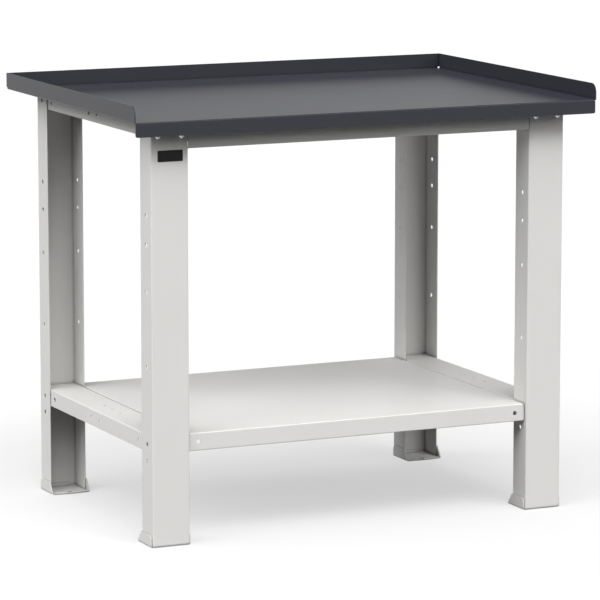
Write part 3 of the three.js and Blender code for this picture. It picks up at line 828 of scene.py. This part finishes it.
class TABLE_OT_cross_members(bpy.types.Operator):
    """Inverted channels between the front and rear legs, the upper ones closed by end plates"""
    bl_idname = "table.cross_members"
    bl_label = "Cross members"

    def execute(self, context):
        size = context.scene.assembly_table.member
        leg = context.scene.assembly_table.leg
        radius, arc, _ = bend_of(size)
        bolt_y = middle_of("rail_bolt_rear_left").y
        channel_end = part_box("lower_cross_member_left")[1].y
        from_middle = (bolt_y, bolt_y - size.hole_step, size.middle_spacing / 2)
        wall_places = [side * y for y in from_middle for side in (-1, 1)]
        top_places = [-size.top_spacing, 0, size.top_spacing]
        v_lines = grid_lines([-channel_end, channel_end], [
            *(hole_span(y, leg.hole) for y in wall_places),
            *(hole_span(y, size.top_hole) for y in top_places),
        ])
        nodes = [f"{level}_cross_member_{side}" for level in ("upper", "lower") for side in ("left", "right")]
        for node in nodes:
            low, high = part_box(node)
            middle = middle_of(node)
            top = (high.x - low.x) / 2 - size.sheet / 2 - radius
            wall = size.height - size.sheet / 2 - radius
            hole_u = top + arc + leg.hole_drop - size.sheet / 2 - radius
            u_lines = grid_lines([0, top + arc + wall], [
                (top, top + arc, BEND_STEPS), hole_span(hole_u, leg.hole), hole_span(0, size.top_hole),
            ], mirrored=True)
            holes = [(side * hole_u, y, leg.hole) for side in (-1, 1) for y in wall_places]
            holes += [(0, y, size.top_hole) for y in top_places]
            bends = [(top, -QUARTER, radius)]
            shell = folded_sheet(
                flat_pattern(u_lines, v_lines, holes=holes), size.sheet, u_bends=(bends, bends),
            )
            channel = placed(shell, (middle.x, 0, high.z - size.sheet / 2), (1, 0, 0), (0, 1, 0))
            plates = self.end_plates(size, node, top) if node.startswith("upper") else []
            add_painted(node, "channel", channel, *plates)
        return {"FINISHED"}

    def end_plates(self, size, node, reach):
        """Flat plates at both ends of an upper member, each with two tapped holes"""
        low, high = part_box(node)
        middle = middle_of(node)
        screw = middle_of("leg_screw_front_left_inner")
        screw_u = abs(screw.x - middle_of("leg_front_left").x)
        u_lines = grid_lines([0, reach], [hole_span(screw_u, size.tapped_hole)], mirrored=True)
        v_lines = grid_lines([low.z, high.z - size.sheet], [hole_span(screw.z, size.tapped_hole)])
        holes = [(side * screw_u, screw.z, size.tapped_hole) for side in (-1, 1)]
        shell = folded_sheet(flat_pattern(u_lines, v_lines, holes=holes), size.sheet)
        return [
            placed(shell, (middle.x, low.y + size.sheet / 2, 0), (1, 0, 0), (0, 0, 1)),
            placed(shell, (middle.x, high.y - size.sheet / 2, 0), (-1, 0, 0), (0, 0, 1)),
        ]


class TABLE_OT_rails(bpy.types.Operator):
    """Front and rear rails: channels with a drilled tab welded on behind each end"""
    bl_idname = "table.rails"
    bl_label = "Rails"

    def execute(self, context):
        size = context.scene.assembly_table.rail
        radius, arc, reach = bend_of(size)
        for node in ("front_rail", "rear_rail"):
            low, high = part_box(node)
            inward, face = face_of(node)
            web = (high.z - low.z) / 2 - reach
            top = web + arc + size.top_flange - reach
            bottom = web + arc + size.bottom_flange - reach
            v_lines = grid_lines([-bottom, 0, top], [
                (-web - arc, -web, BEND_STEPS), (web, web + arc, BEND_STEPS),
            ])
            bends = [(web, -QUARTER, radius)]
            pattern = flat_pattern(grid_lines([low.x, 0, high.x]), v_lines)
            shell = folded_sheet(pattern, size.sheet, v_bends=(bends, bends))
            origin = (0, face + inward * size.sheet / 2, (low.z + high.z) / 2)
            channel = placed(shell, origin, (inward, 0, 0), (0, 0, 1))
            add_painted(node, "channel", channel, *self.end_tabs(context, node))
        return {"FINISHED"}

    def end_tabs(self, context, node):
        """Upright plates behind the ends of a rail, from its web inwards, each with the bolt's hole"""
        size = context.scene.assembly_table.rail
        leg = context.scene.assembly_table.leg
        low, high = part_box(node)
        inward, face = face_of(node)
        hole_z = high.z - leg.hole_drop
        u_lines = grid_lines([size.sheet, high.y - low.y], [hole_span(leg.hole_from_web, leg.hole)])
        v_lines = grid_lines([high.z - size.tab_height, high.z - size.sheet], [hole_span(hole_z, leg.hole)])
        pattern = flat_pattern(u_lines, v_lines, holes=[(leg.hole_from_web, hole_z, leg.hole)])
        shell = folded_sheet(pattern, size.sheet)
        places = (low.x + size.sheet / 2, high.x - size.sheet / 2)
        return [placed(shell, (x, face, 0), (0, inward, 0), (0, 0, 1)) for x in places]


class TABLE_OT_shelf(bpy.types.Operator):
    """Lower shelf: lips with returns at the front and the back, plain flanges at the sides"""
    bl_idname = "table.shelf"
    bl_label = "Shelf"

    def execute(self, context):
        size = context.scene.assembly_table.shelf
        leg = context.scene.assembly_table.leg
        low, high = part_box("shelf_panel")
        radius, arc, reach = bend_of(size)
        side, front = high.x - reach, high.y - reach
        wall = high.z - low.z - 2 * reach
        second = front + arc + wall
        lip_end = second + arc + size.lip_return - reach
        flange_end = side + arc + size.end_flange - reach
        lip_side = high.x - size.lip_gap
        slit = front - size.sheet
        flange_side = slit - size.sheet
        bolt_y = middle_of("shelf_bolt_rear_left").y
        end_hole_u = side + arc + leg.hole_drop - reach
        lip_hole_u = high.x - size.lip_hole_inset
        lip_hole_v = front + arc + leg.hole_drop - reach
        corner = size.lip_corner
        shaped = 2 * corner
        u_lines = grid_lines([0, lip_side - shaped, lip_side, flange_end], [
            (side, side + arc, BEND_STEPS), hole_span(end_hole_u, leg.hole),
            hole_span(lip_hole_u, size.lip_hole),
        ], mirrored=True)
        v_lines = grid_lines([0, flange_side, slit, lip_end, *(second + arc - corner * ROUNDING)], [
            (front, front + arc, BEND_STEPS), (second, second + arc, BEND_STEPS),
            hole_span(bolt_y, leg.hole), hole_span(lip_hole_v, size.lip_hole),
        ], mirrored=True)
        lip_bends = [(front, -QUARTER, radius), (second, -QUARTER, radius)]
        end_bends = [(side, -QUARTER, radius)]

        def present(u, v):
            """Where the pattern has sheet: the deck, the side flanges, and the lips beyond the slits"""
            u, v = np.abs(u), np.abs(v)
            return (u < side) | ((u > side) & (v < flange_side)) | ((u < lip_side) & (v > slit))

        def on_flange(u, v):
            """Where the sheet is folded down along a side"""
            return np.abs(v) < flange_side + TOUCH

        def rounded_ends(u, v):
            """Draws in the ends of the lips as quarter circles at their upper and lower edges"""
            drop = -fold(np.abs(v), np.zeros(len(v)), lip_bends)[1] + size.sheet / 2
            from_edge = np.minimum(drop, high.z - low.z - drop)
            near_end = np.clip((np.abs(u) - lip_side + shaped) / shaped, 0, 1)
            draw = rounded_off(corner, corner - from_edge) * near_end
            return np.where(np.abs(v) > slit - TOUCH, u - np.sign(u) * draw, u), v

        signs = [(s, t) for s in (-1, 1) for t in (-1, 1)]
        holes = [(s * end_hole_u, t * bolt_y, leg.hole) for s, t in signs]
        holes += [(s * lip_hole_u, t * lip_hole_v, size.lip_hole) for s, t in signs]
        shell = folded_sheet(
            flat_pattern(u_lines, v_lines, present, holes), size.sheet, u_bends=(end_bends, end_bends),
            v_bends=(lip_bends, lip_bends), fold_u=on_flange, warp=rounded_ends,
        )
        tray = placed(shell, (0, 0, high.z - size.sheet / 2), (1, 0, 0), (0, 1, 0))
        add_painted("shelf_panel", "tray", tray)
        return {"FINISHED"}


class TABLE_OT_plate(bpy.types.Operator):
    """Bare black plate on the front left leg"""
    bl_idname = "table.plate"
    bl_label = "Plate"

    def execute(self, context):
        size = context.scene.assembly_table.plate
        low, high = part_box("blank_plate")
        half = np.array([high.x - low.x, high.z - low.z]) / 2
        thickness = high.y - low.y
        quarter = np.linspace(0, QUARTER, ROUND_STEPS)
        turn = np.concatenate([quarter + k * QUARTER for k in range(4)])
        around = np.stack([np.cos(turn), np.sin(turn)], axis=1)
        centres = np.repeat([[1, 1], [-1, 1], [-1, -1], [1, -1]], ROUND_STEPS, axis=0) * (half - size.corner)
        eased = size.edge * EDGE_EASE
        rings = [(0, 0), (0, thickness - size.edge), (eased, thickness - eased), (size.edge, thickness)]
        points = np.concatenate([
            np.column_stack([centres + (size.corner - inset) * around, np.full(len(turn), rise)])
            for inset, rise in rings
        ])
        middle = middle_of("blank_plate")
        shell = (points, tube_faces(len(rings), len(turn)))
        film = placed(shell, (middle.x, high.y, middle.z), (1, 0, 0), (0, 0, 1))
        black = black_film("black_plastic_film", context.scene.assembly_table.finish.plate)
        add_piece("blank_plate_film", [film], black, "blank_plate", rounding=0)
        return {"FINISHED"}


def flanged_hexagon(size, flats, flange, height):
    """Rings of a hexagon on a flange: the flange's broken edge and cone, then the hexagon and its chamfer."""
    corner = flats / 2 / math.cos(math.pi / 6)
    rise = size.flange_height
    return [
        (flange - size.flange_edge, 0, 0, 0),
        (flange, size.flange_edge, 0, 0),
        (flange, rise * FLANGE_CONE, 0, 0),
        (corner, rise, 0, 0),
        (corner, rise, flats, 0),
        (corner, height - size.hexagon_chamfer, flats, 0),
        (flats / 2 * HEXAGON_TOP, height, flats, 0),
    ]


def hex_bolt(size, shank, flange):
    """A flanged hexagon bolt: a chamfered threaded shank below Z 0, and its flange and head above."""
    radius = size.bolt / 2
    return turned([
        (radius - size.bolt_tip, -shank, 0, 0),
        *thread_rings(radius, size.bolt_tip - shank, -size.bolt_neck, size.bolt_pitch),
        (radius, 0, 0, 0),
        *flanged_hexagon(size, size.bolt_flats, flange, size.bolt_head),
    ], TURN_STEPS, size.bolt_pitch)


def flanged_nut(size, flats, bore, height, flange):
    """A flanged hexagon nut with its bearing face at Z 0 and a countersunk bore."""
    sink = size.countersink
    return turned([
        (bore + sink, 0, 0, 0),
        *flanged_hexagon(size, flats, flange, height),
        (bore + sink, height, 0, 0),
        (bore, height - sink, 0, 0),
        (bore, sink, 0, 0),
    ], TURN_STEPS, ring_closed=True)


def button_screw(size, shank, head):
    """A button-head screw: a threaded shank below Z 0, a low dome above it and a hexagon socket in the dome.
    The dome's radius falls as a quarter ellipse, head * cos(t), while its height rises as sin(t)."""
    radius, top, edge = size.screw / 2, size.screw_head, size.button_edge
    socket = size.socket / 2 / math.cos(math.pi / 6)
    stop = math.acos((socket + size.socket_land) / head)
    rise = (top - edge) / math.sin(stop)
    dome = [
        (head * math.cos(t), edge + rise * math.sin(t), 0, 0) for t in np.linspace(0, stop, ROUND_STEPS + 1)
    ]
    return turned([
        (radius - size.stud_tip, -shank, 0, 0),
        *thread_rings(radius, size.stud_tip - shank, -size.screw_neck, size.stud_pitch),
        (radius, 0, 0, 0),
        (head - size.flange_edge, 0, 0, 0),
        (head, size.flange_edge, 0, 0),
        *dome,
        (socket, top - size.socket_edge, size.socket, 0),
        (socket, top * SOCKET_FLOOR, size.socket, 0),
    ], TURN_STEPS, size.stud_pitch)


class TABLE_OT_bolts(bpy.types.Operator):
    """Flanged bolts and nuts that join the rails, the shelf and the cross members to the legs"""
    bl_idname = "table.bolts"
    bl_label = "Bolts and nuts"

    def execute(self, context):
        size = context.scene.assembly_table.fastener
        for joint in ("rail", "shelf"):
            for corner in CORNERS:
                inward = 1 if corner.endswith("left") else -1
                node = f"{joint}_bolt_{corner}"
                low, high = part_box(node)
                seat = middle_of(node)
                seat.x = (high.x - size.bolt_head) if inward > 0 else (low.x + size.bolt_head)
                bolt = hex_bolt(size, high.x - low.x - size.bolt_head, (high.y - low.y) / 2)
                add_fastener(node, along_axis(bolt, seat, (inward, 0, 0)))
                node = f"{joint}_nut_{corner}"
                low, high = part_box(node)
                seat.x = high.x if inward > 0 else low.x
                bore = size.bolt / 2 + size.play
                nut = flanged_nut(size, size.bolt_flats, bore, high.x - low.x, (high.y - low.y) / 2)
                add_fastener(node, along_axis(nut, seat, (-inward, 0, 0)))
        return {"FINISHED"}


class TABLE_OT_leg_screws(bpy.types.Operator):
    """Button-head screws through the leg webs"""
    bl_idname = "table.leg_screws"
    bl_label = "Leg screws"

    def execute(self, context):
        size = context.scene.assembly_table.fastener
        for node in [f"leg_screw_{corner}_{side}" for corner in CORNERS for side in ("inner", "outer")]:
            low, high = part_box(node)
            inward, face = face_of(node)
            seat = middle_of(node)
            seat.y = face + inward * size.screw_head
            screw = button_screw(size, high.y - low.y - size.screw_head, (high.z - low.z) / 2)
            add_fastener(node, along_axis(screw, seat, (0, -inward, 0)))
        return {"FINISHED"}


class TABLE_OT_studs(bpy.types.Operator):
    """Threaded studs under the worktop and their flanged nuts"""
    bl_idname = "table.studs"
    bl_label = "Studs and nuts"

    def execute(self, context):
        size = context.scene.assembly_table.fastener
        for corner in CORNERS:
            node = f"worktop_stud_{corner}"
            low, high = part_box(node)
            radius = (high.y - low.y) / 2
            tall = high.z - low.z
            stud = turned([
                (radius - size.stud_tip, 0, 0, 0),
                *thread_rings(radius, size.stud_tip, tall - size.stud_neck, size.stud_pitch),
                (radius, tall, 0, 0),
            ], STUD_STEPS, size.stud_pitch)
            seat = middle_of(node)
            seat.z = low.z
            add_fastener(node, along_axis(stud, seat, (0, 0, 1)))
            node = f"worktop_nut_{corner}"
            low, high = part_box(node)
            seat = middle_of(node)
            seat.z = high.z
            nut = flanged_nut(size, size.stud_flats, radius + size.play, high.z - low.z, (high.y - low.y) / 2)
            add_fastener(node, along_axis(nut, seat, (0, 0, -1)))
        return {"FINISHED"}


class TABLE_OT_stage(bpy.types.Operator):
    """Pale floor, soft studio light and the camera"""
    bl_idname = "table.stage"
    bl_label = "Stage"

    def execute(self, context):
        settings = context.scene.assembly_table.stage
        self.floor(context.scene, settings)
        self.light(context.scene)
        self.camera(context.scene, settings)
        context.scene.view_settings.view_transform = "Standard"
        return {"FINISHED"}

    def floor(self, scene, settings):
        """A flat floor, white to the camera and in reflections, and greyer in the light it throws back"""
        half = settings.floor_size / 2
        u, v = np.meshgrid([-half, half], [-half, half])
        points = np.column_stack([u.ravel(), v.ravel(), np.zeros(4)])
        mesh = bpy.data.meshes.new("floor")
        mesh.from_pydata(points.tolist(), [], [[0, 1, 3, 2]])
        floor = bpy.data.objects.new("floor", mesh)
        scene.collection.objects.link(floor)
        material, tree, _ = new_tree("white_studio_floor")
        path = add_node(tree, "ShaderNodeLightPath").outputs
        shown = path["Is Camera Ray"]
        for ray in ("Is Glossy Ray", "Is Transmission Ray"):
            either = add_node(tree, "ShaderNodeMath", {0: shown, 1: path[ray]}, operation="MAXIMUM")
            shown = either.outputs["Value"]
        bounce = add_node(tree, "ShaderNodeBsdfDiffuse", {"Color": (*[FLOOR_BOUNCE] * 3, 1)})
        white = add_node(tree, "ShaderNodeBsdfDiffuse", {"Color": (*[FLOOR_WHITE] * 3, 1)})
        glow = add_node(tree, "ShaderNodeEmission", {"Color": (1, 1, 1, 1), "Strength": FLOOR_GLOW})
        lit = add_node(tree, "ShaderNodeAddShader", {0: white.outputs["BSDF"], 1: glow.outputs["Emission"]})
        mix = add_node(tree, "ShaderNodeMixShader", {
            "Fac": shown, 1: bounce.outputs["BSDF"], 2: lit.outputs["Shader"],
        })
        add_node(tree, "ShaderNodeOutputMaterial", {"Surface": mix.outputs["Shader"]})
        mesh.materials.append(material)

    def light(self, scene):
        """A dark studio with the soft boxes in it, which the camera itself sees as plain white"""
        world = bpy.data.worlds.new("studio")
        scene.world = world
        world.use_nodes = True
        tree = world.node_tree
        tree.nodes.clear()
        direction = add_node(tree, "ShaderNodeTexCoord").outputs["Generated"]
        rise = add_node(tree, "ShaderNodeSeparateXYZ", {"Vector": direction}).outputs["Z"]
        level = add_node(tree, "ShaderNodeVectorMath", {0: direction, 1: (1, 1, 0)}, operation="MULTIPLY")
        heading = add_node(tree, "ShaderNodeVectorMath", {0: level.outputs["Vector"]}, operation="NORMALIZE")
        strength = 0.0
        for box in SOFT_BOXES.values():
            glow = self.soft_box(tree, heading.outputs["Vector"], rise, box)
            total = add_node(tree, "ShaderNodeMath", {0: strength, 1: glow}, operation="ADD")
            strength = total.outputs["Value"]
        path = add_node(tree, "ShaderNodeLightPath")
        light = add_node(tree, "ShaderNodeBackground", {"Color": (1, 1, 1, 1), "Strength": strength})
        white = add_node(tree, "ShaderNodeBackground", {"Color": (1, 1, 1, 1), "Strength": 1.0})
        mix = add_node(tree, "ShaderNodeMixShader", {
            "Fac": path.outputs["Is Camera Ray"],
            1: light.outputs["Background"], 2: white.outputs["Background"],
        })
        add_node(tree, "ShaderNodeOutputWorld", {"Surface": mix.outputs["Shader"]})

    def soft_box(self, tree, heading, rise, box):
        """Strength of one soft box: a lobe, the dot product of the headings from SOFT_BOX_SPREAD to 1, times
        a band, 1 less the distance from the box's height over its fade"""
        turn = math.radians(box.heading)
        facing = add_node(tree, "ShaderNodeVectorMath", {
            0: heading, 1: (math.sin(turn), -math.cos(turn), 0),
        }, operation="DOT_PRODUCT")
        lobe = add_node(tree, "ShaderNodeMapRange", {
            "Value": facing.outputs["Value"], "From Min": SOFT_BOX_SPREAD, "From Max": 1.0,
            "To Max": box.strength,
        })
        away = add_node(tree, "ShaderNodeMath", {0: rise, 1: box.height}, operation="SUBTRACT")
        distance = add_node(tree, "ShaderNodeMath", {0: away.outputs["Value"]}, operation="ABSOLUTE")
        band = add_node(tree, "ShaderNodeMapRange", {
            "Value": distance.outputs["Value"], "From Min": box.fade, "From Max": 0.0,
        })
        return add_node(tree, "ShaderNodeMath", {
            0: band.outputs["Result"], 1: lobe.outputs["Result"],
        }, operation="MULTIPLY").outputs["Value"]

    def camera(self, scene, settings):
        """A long lens at the height of a standing eye, some way off"""
        a, e = settings.camera_azimuth, settings.camera_elevation
        back = Vector((math.sin(a) * math.cos(e), -math.cos(a) * math.cos(e), math.sin(e)))
        data = bpy.data.cameras.new("camera")
        data.lens = settings.lens
        data.clip_end = settings.floor_size
        camera = bpy.data.objects.new("camera", data)
        scene.collection.objects.link(camera)
        camera.location = Vector(settings.look_at) + back * settings.camera_distance
        camera.rotation_mode = "QUATERNION"
        camera.rotation_quaternion = (-back).to_track_quat("-Z", "Y")
        scene.camera = camera


class TABLE_PT_panel(bpy.types.Panel):
    """Lists the operators that build the table"""
    bl_idname = "TABLE_PT_panel"
    bl_label = "Assembly Table"
    bl_space_type = "VIEW_3D"
    bl_region_type = "UI"
    bl_category = "Table"

    def draw(self, context):
        for operator in OPERATORS:
            self.layout.operator(operator.bl_idname)


SIZES = (
    WorktopSizes, LegSizes, FootSizes, CrossMemberSizes, RailSizes, ShelfSizes, StiffenerSizes, FastenerSizes,
    PlateSizes, FinishColours, StageSettings, TableSettings,
)
OPERATORS = (
    TABLE_OT_worktop, TABLE_OT_stiffeners, TABLE_OT_legs, TABLE_OT_feet, TABLE_OT_cross_members,
    TABLE_OT_rails, TABLE_OT_shelf, TABLE_OT_plate, TABLE_OT_bolts, TABLE_OT_leg_screws, TABLE_OT_studs,
    TABLE_OT_stage,
)
CLASSES = (*SIZES, *OPERATORS, TABLE_PT_panel)


def register():
    for cls in CLASSES:
        bpy.utils.register_class(cls)
    bpy.types.Scene.assembly_table = bpy.props.PointerProperty(type=TableSettings)


def unregister():
    del bpy.types.Scene.assembly_table
    for cls in reversed(CLASSES):
        bpy.utils.unregister_class(cls)


def main():
    register()
    for operator in OPERATORS:
        group, action = operator.bl_idname.split(".")
        getattr(getattr(bpy.ops, group), action)()


if __name__ == "__main__":
    main()
